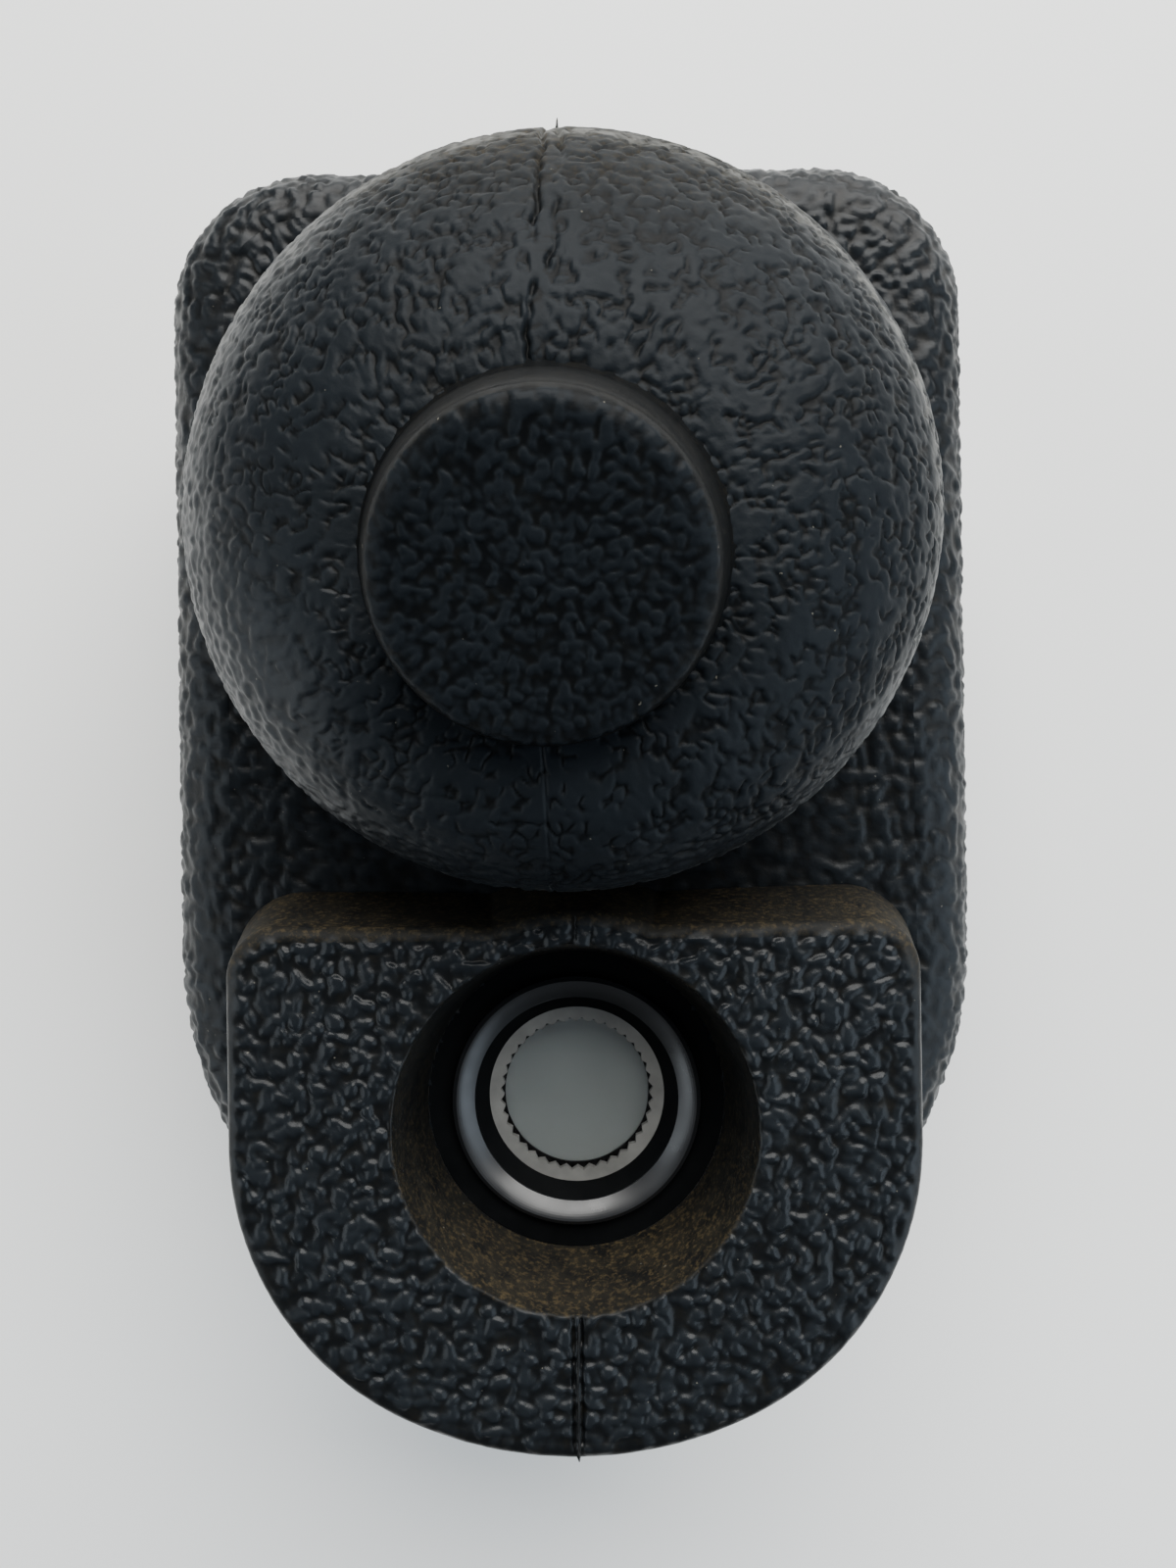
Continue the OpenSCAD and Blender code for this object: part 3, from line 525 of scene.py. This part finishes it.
def flash(name, path, normal, width, height, seed):
    """A ragged little fin of moulding flash that stands on a path, in the direction of normal."""
    count = 60
    at = np.linspace(0, len(path) - 1, count)
    path = np.stack([np.interp(at, range(len(path)), np.array(path)[:, k]) for k in range(3)], axis=1)
    up = np.tile(np.array(normal, float) / np.linalg.norm(normal), (count, 1))
    along = np.gradient(path, axis=0)
    side = np.cross(along / np.linalg.norm(along, axis=1, keepdims=True), up)
    place = np.column_stack([np.arange(count) * 0.25 * MM, np.zeros(count), np.zeros(count)])
    ragged = 0.75 + 0.35 * smooth_noise(place, 0.8 * MM, seed)
    ragged = ragged + 0.25 * smooth_noise(place, 2.5 * MM, seed + 1)
    taper = np.clip(np.minimum(np.arange(count), np.arange(count)[::-1]) / 3, 0.15, 1)
    h = (height * ragged * taper)[:, None]
    path = path + side * (0.1 * MM * smooth_noise(place, 1.5 * MM, seed + 2))[:, None]
    rows = [path - side * width - up * 0.25 * MM, path + up * h - side * width * 0.3,
            path + up * h + side * width * 0.3, path + side * width - up * 0.25 * MM]
    return grid_mesh(name, np.array(rows), wrap=False)


def mould_flash():
    """The flash left on the parting line: (piece, body) pairs."""
    low_y = BLOCK_END
    nub_top = CAP_WIDE + DOME_H + NUB_H * 0.86
    face = [(0, LEFT_Y - MOUTH_R - 0.8 * MM, TOP), (-0.1 * MM, low_y + 0.3 * MM, TOP)]
    wall = [(-0.1 * MM, low_y - 0.1 * MM, TOP - 0.4 * MM), (0, low_y - FLARE, FRONT)]
    above = [(0.3 * MM, LEFT_Y + MOUTH_R + 0.8 * MM, TOP),
             (0.3 * MM, LEFT_Y + BLOCK_BULGE_R - 0.3 * MM, TOP)]
    whisker = [(-0.6 * MM, RIGHT_Y - CAP_R + 0.4 * MM, CAP_WIDE + 1.5 * MM),
               (-0.5 * MM, RIGHT_Y - CAP_R - 1.5 * MM, CAP_WIDE + 0.8 * MM)]
    spike = [(-0.6 * MM, RIGHT_Y + CAP_R - 1.2 * MM, CAP_WIDE + 4 * MM),
             (-0.6 * MM, RIGHT_Y + CAP_R, CAP_WIDE - 3 * MM)]
    tag = [(-2.2 * MM, NUB_AT[1] - 12.5 * MM, nub_top - 3.2 * MM),
           (-2.6 * MM, NUB_AT[1] - 17.2 * MM, nub_top - 5.1 * MM)]
    return [(flash("flash_block_face", face, (0, 0, 1), 0.18 * MM, 0.5 * MM, 1), "body"),
            (flash("flash_block_wall", wall, (0, -1, 0), 0.2 * MM, 1.2 * MM, 2), "body"),
            (flash("flash_block_top", above, (0, 0, 1), 0.1 * MM, 0.15 * MM, 3), "body"),
            (flash("flash_cap_whisker", whisker, (0, 0, 1), 0.22 * MM, 0.3 * MM, 4), "cap"),
            (flash("flash_cap_spike", spike, (0, 1, 0), 0.2 * MM, 1.6 * MM, 5), "cap"),
            (flash("flash_nub", tag, (0, -0.33, 0.94), 0.28 * MM, 0.3 * MM, 6), "cap")]


# ---------- materials ----------

def new_material(name):
    material = bpy.data.materials.new(name)
    material.use_nodes = True
    tree = material.node_tree
    return material, tree, tree.nodes["Principled BSDF"]


def add_node(tree, kind, **values):
    node = tree.nodes.new(kind)
    for key, value in values.items():
        if key in node.inputs:
            node.inputs[key].default_value = value
        else:
            setattr(node, key, value)
    return node


def object_coordinates(tree):
    return tree.nodes.new("ShaderNodeTexCoord").outputs["Object"]


def noise(tree, scale, detail=3.0, rough=0.55):
    node = add_node(tree, "ShaderNodeTexNoise", Scale=scale, Detail=detail, Roughness=rough)
    tree.links.new(object_coordinates(tree), node.inputs["Vector"])
    return node.outputs["Fac"]


def ramp(tree, value, stops):
    """A colour ramp; stops are (position, (r, g, b)) or (position, grey)."""
    node = tree.nodes.new("ShaderNodeValToRGB")
    tree.links.new(value, node.inputs["Fac"])
    elements = node.color_ramp.elements
    for i, (position, colour) in enumerate(stops):
        element = elements[i] if i < 2 else elements.new(position)
        element.position = position
        rgb = colour if isinstance(colour, tuple) else (colour,) * 3
        element.color = (*rgb, 1)
    return node.outputs["Color"]


def mix(tree, factor, a, b):
    node = tree.nodes.new("ShaderNodeMix")
    node.data_type = "RGBA"
    for socket, value in ((node.inputs["Factor"], factor), (node.inputs["A"], a), (node.inputs["B"], b)):
        if isinstance(value, bpy.types.NodeSocket):
            tree.links.new(value, socket)
        elif isinstance(value, tuple):
            socket.default_value = (*value, 1)
        else:
            socket.default_value = value
    return node.outputs["Result"]


def maths(tree, operation, a, b=0.0, clamp=False):
    node = tree.nodes.new("ShaderNodeMath")
    node.operation = operation
    node.use_clamp = clamp
    for socket, value in ((node.inputs[0], a), (node.inputs[1], b)):
        if isinstance(value, bpy.types.NodeSocket):
            tree.links.new(value, socket)
        else:
            socket.default_value = value
    return node.outputs[0]


def attribute(tree, name):
    return add_node(tree, "ShaderNodeAttribute", attribute_name=name).outputs["Fac"]


def bump(tree, principled, height, strength, distance):
    node = add_node(tree, "ShaderNodeBump", Strength=strength, Distance=distance)
    tree.links.new(height, node.inputs["Height"])
    previous = principled.inputs["Normal"]
    if previous.is_linked:
        tree.links.new(previous.links[0].from_socket, node.inputs["Normal"])
    tree.links.new(node.outputs["Normal"], previous)


# Painted shade: the colour given where the grain attribute is low, darkening the grain's gaps, cracks and
# seams, and the ungrained walls.
PAINTED_GAP_SHADE = (0.0028, 0.0032, 0.0036)
RUBBER = (0.0050, 0.0063, 0.0077)
RUBBER_HIGH = (0.0078, 0.0098, 0.0120)
DUST = (0.021, 0.0175, 0.0105)
DUST_SPECK = (0.06, 0.044, 0.021)
# Partly the colour of worn rubber, partly a painted highlight along the dome's rim.
WEAR_AND_RIM_HIGHLIGHT = (0.1, 0.1, 0.094)


def rubber(name, gloss, specular, gap_dust=0.2, dusty=None, worn=None):
    """Black grained rubber with dust in its gaps, and painted shade that darkens the gaps of its grain.

    dusty and worn name the point attributes that say where dust lies and where the rubber is worn
    light; on the block skins the dust attribute also carries painted light on the walls that face the
    window, and the worn band is partly a painted highlight along the dome's rim. A worn rubber also
    takes its gloss from the attribute shine.
    """
    material, tree, shader = new_material(name)
    grain = attribute(tree, "grain")
    patches = ramp(tree, noise(tree, 90, 4), [(0.35, 0.0), (0.7, 0.7)])
    base = mix(tree, patches, RUBBER_HIGH, RUBBER)
    # Painted shade: where the grain is low, in its gaps, the colour is darkened towards the gap shade.
    base = mix(tree, ramp(tree, grain, [(0.05, 0.0), (0.6, 1.0)]), PAINTED_GAP_SHADE, base)
    in_gaps = maths(tree, "MULTIPLY", maths(tree, "SUBTRACT", 1.0, grain, True), gap_dust)
    in_gaps = maths(tree, "MULTIPLY", in_gaps, ramp(tree, noise(tree, 420, 3), [(0.5, 0.0), (0.75, 1.0)]))
    base = mix(tree, in_gaps, base, DUST)
    # Dust where the attribute dusty lies. On the block skins that attribute also carries painted light,
    # lightening the walls that face the window.
    if dusty:
        cover = ramp(tree, noise(tree, 330, 7, 0.72), [(0.36, 0.02), (0.68, 0.9)])
        cloud = ramp(tree, noise(tree, 60, 3), [(0.3, 0.25), (0.65, 1.0)])
        dust_and_light_veil = maths(tree, "MULTIPLY", attribute(tree, dusty), cloud)
        base = mix(tree, maths(tree, "MULTIPLY", dust_and_light_veil, cover), base, DUST)
        specks = ramp(tree, noise(tree, 1500, 4, 0.7), [(0.5, 0.0), (0.64, 0.8)])
        base = mix(tree, maths(tree, "MULTIPLY", dust_and_light_veil, specks), base, DUST_SPECK)
    # Lighter where the attribute worn lies: partly wear, partly a painted highlight along the dome's rim.
    if worn:
        wear_and_highlight = ramp(tree, noise(tree, 500, 3), [(0.38, 0.0), (0.6, 0.9)])
        wear_and_highlight = maths(tree, "MULTIPLY", attribute(tree, worn), wear_and_highlight)
        base = mix(tree, wear_and_highlight, base, WEAR_AND_RIM_HIGHLIGHT)
    flecks = ramp(tree, noise(tree, 1300, 2, 0.6), [(0.755, 0.0), (0.775, 0.8)])
    base = mix(tree, flecks, base, (0.09, 0.085, 0.07))
    tree.links.new(base, shader.inputs["Base Color"])
    roughness = ramp(tree, noise(tree, 330, 4), [(0.3, gloss), (0.75, gloss + 0.14)])
    if dusty:
        matt = maths(tree, "MULTIPLY", attribute(tree, dusty), 0.4)
        roughness = maths(tree, "ADD", roughness, matt, True)
    tree.links.new(roughness, shader.inputs["Roughness"])
    shader.inputs["Specular IOR Level"].default_value = specular
    if worn:
        glossy = maths(tree, "MULTIPLY", attribute(tree, "shine"), 4 * specular)
        tree.links.new(maths(tree, "ADD", glossy, specular), shader.inputs["Specular IOR Level"])
    bump(tree, shader, noise(tree, 3000, 3, 0.6), 0.25, 0.00006)
    bump(tree, shader, noise(tree, 1100, 2), 0.3, 0.0001)
    return material


def plain(name, colour, roughness, metallic=0.0, grain_scale=1200, bump_strength=0.15, vary=0.25,
          specular=0.5):
    """A finished plain surface: slight colour and gloss variation with a fine surface bump."""
    material, tree, shader = new_material(name)
    spots = noise(tree, grain_scale / 6, 4)
    darker = tuple(c * (1 - vary) for c in colour)
    shade = mix(tree, ramp(tree, spots, [(0.3, 0.0), (0.7, 1.0)]), darker, colour)
    tree.links.new(shade, shader.inputs["Base Color"])
    low, high = max(0.03, roughness - 0.08), min(1, roughness + 0.08)
    gloss = ramp(tree, noise(tree, grain_scale / 3, 3), [(0.3, low), (0.7, high)])
    tree.links.new(gloss, shader.inputs["Roughness"])
    shader.inputs["Metallic"].default_value = metallic
    shader.inputs["Specular IOR Level"].default_value = specular
    bump(tree, shader, noise(tree, grain_scale, 3), bump_strength, 0.00005)
    return material


def glass(name, tint):
    material, tree, shader = new_material(name)
    shader.inputs["Base Color"].default_value = (*tint, 1)
    shader.inputs["Transmission Weight"].default_value = 1.0
    shader.inputs["Roughness"].default_value = 0.02
    shader.inputs["IOR"].default_value = 1.3
    shader.inputs["Coat Weight"].default_value = 0.3
    return material


def dress(piece, material):
    piece.data.materials.clear()
    piece.data.materials.append(material)


def finish_piece(piece, material, body, replaces=()):
    dress(piece, material)
    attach(piece, body)
    if replaces:
        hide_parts(*replaces)
    return piece


# ---------- camera, floor and light ----------

CAMERA_AT = (1.9 * MM, 0.5 * MM, 190.5 * MM)
CAMERA_LENS = 27
CAMERA_ROLL = -0.014
FLOOR_HALF = 3.0
LAMP_AIM = (0, 0, 0.03)


def set_camera():
    """The camera looks straight down from above the middle of the body, turned a little."""
    data = bpy.data.cameras.new("camera")
    data.sensor_fit = "VERTICAL"
    data.sensor_height = 36
    data.lens = CAMERA_LENS
    data.clip_start = 0.01
    camera = bpy.data.objects.new("camera", data)
    camera.location = CAMERA_AT
    camera.rotation_euler = (0, 0, CAMERA_ROLL)
    bpy.context.scene.collection.objects.link(camera)
    bpy.context.scene.camera = camera


def area_light(name, place, target, size, power, colour):
    data = bpy.data.lights.new(name, "AREA")
    data.shape = "RECTANGLE"
    data.size, data.size_y = size
    data.energy = power
    data.color = colour
    lamp = bpy.data.objects.new(name, data)
    lamp.location = place
    direction = Vector(target) - Vector(place)
    lamp.rotation_euler = direction.to_track_quat("-Z", "Y").to_euler()
    bpy.context.scene.collection.objects.link(lamp)


def set_stage():
    """A pale floor, soft daylight, a window beyond the top of the picture and a weak lamp on each side."""
    size = FLOOR_HALF
    corners = [(-size, -size, 0), (size, -size, 0), (size, size, 0), (-size, size, 0)]
    floor = make_mesh("floor", corners, [(0, 1, 2, 3)])
    material, tree, shader = new_material("floor_paint")
    shader.inputs["Base Color"].default_value = (0.83, 0.83, 0.815, 1)
    shader.inputs["Roughness"].default_value = 0.55
    dress(floor, material)
    world = bpy.data.worlds.new("world")
    bpy.context.scene.world = world
    world.use_nodes = True
    background = world.node_tree.nodes["Background"]
    background.inputs["Color"].default_value = (0.93, 0.96, 1.0, 1)
    background.inputs["Strength"].default_value = 0.2
    area_light("window", (0.22, 0.95, 0.75), (0, 0.03, 0.03), (1.5, 1.1), 56, (1.0, 0.99, 0.96))
    area_light("sky", (0.8, -0.3, 0.5), LAMP_AIM, (1.0, 0.8), 8, (0.74, 0.87, 1.0))
    area_light("room", (-0.9, -0.15, 0.5), LAMP_AIM, (1.0, 0.8), 7, (0.86, 0.94, 1.0))


set_camera()
set_stage()

# ---------- put together ----------

armour = rubber("armour_rubber", 0.3, 0.13)
block_rubber = rubber("block_rubber", 0.27, 0.16, dusty="wall")
cap_rubber = rubber("cap_rubber", 0.34, 0.045, gap_dust=0.1, dusty="dusty", worn="worn")
flash_rubber = rubber("flash_rubber", 0.5, 0.2)

for skin in body_skin():
    finish_piece(skin, armour, "body")
left_block = block_mesh("left_block_skin", block_outline, LEFT_Y, FLARE, 900, 11, WIDEST + 0.5 * MM)
finish_piece(left_block, block_rubber, "body", ["left_lens_block"])
right_block = block_mesh("right_block_skin", round_outline, RIGHT_Y, 0, 560, 13, FRONT, 50)
finish_piece(right_block, block_rubber, "body", ["right_lens_block"])
finish_piece(cap_mesh("cap_skin", 880, 0, 1), cap_rubber, "cap", ["lens_cap"])
finish_piece(cap_mesh("cap_nub_skin", 560, 2, 3), cap_rubber, "cap")

for fin, body in mould_flash():
    finish_piece(fin, flash_rubber, body)

FINISHES = {
    "armour": plain("shell_inside", (0.03, 0.031, 0.033), 0.6, vary=0.4),
    "block_rubber": plain("block_plain", (0.03, 0.031, 0.033), 0.6),
    "brass_parts": plain("brass", (0.62, 0.44, 0.18), 0.32, 1.0),
    "screw_steel": plain("steel", (0.45, 0.46, 0.48), 0.35, 1.0),
    "spring_steel": plain("spring_wire", (0.36, 0.37, 0.39), 0.3, 1.0),
    "seal_rubber": plain("seal", (0.014, 0.014, 0.015), 0.85, grain_scale=2400, bump_strength=0.5),
    "black_anodised": plain("anodised", (0.003, 0.0034, 0.0038), 0.5, specular=0.05),
    "bezel_black": plain("bezel", (0.014, 0.015, 0.017), 0.33, grain_scale=600, bump_strength=0.04),
    "ring_metal": plain("ring", (0.15, 0.15, 0.142), 0.6, grain_scale=1500, bump_strength=0.6, vary=0.4),
    "lens_glass": glass("lens_glass", (0.93, 0.96, 0.97)),
    "plate_aluminium": plain("plate", (0.55, 0.56, 0.57), 0.4, 1.0),
    "blade_metal": plain("blade", (0.26, 0.265, 0.26), 0.5, 0.3, vary=0.08),
    "knob_metal": plain("knob", (0.5, 0.5, 0.51), 0.3, 1.0),
    "button_plastic": plain("button", (0.02, 0.02, 0.022), 0.4),
    "cassette_tin": plain("cassette", (0.5, 0.36, 0.08), 0.4, 0.2),
    "film_base": plain("film", (0.09, 0.07, 0.06), 0.3),
    "cover_paint": plain("cover", (0.016, 0.017, 0.019), 0.62, grain_scale=700, bump_strength=0.8),
}
slots = {s["node"]: s["material_slot"] for s in frame["record"]["subparts"]}
for name, node in frame["nodes"].items():
    dress(node, FINISHES[slots[name]])
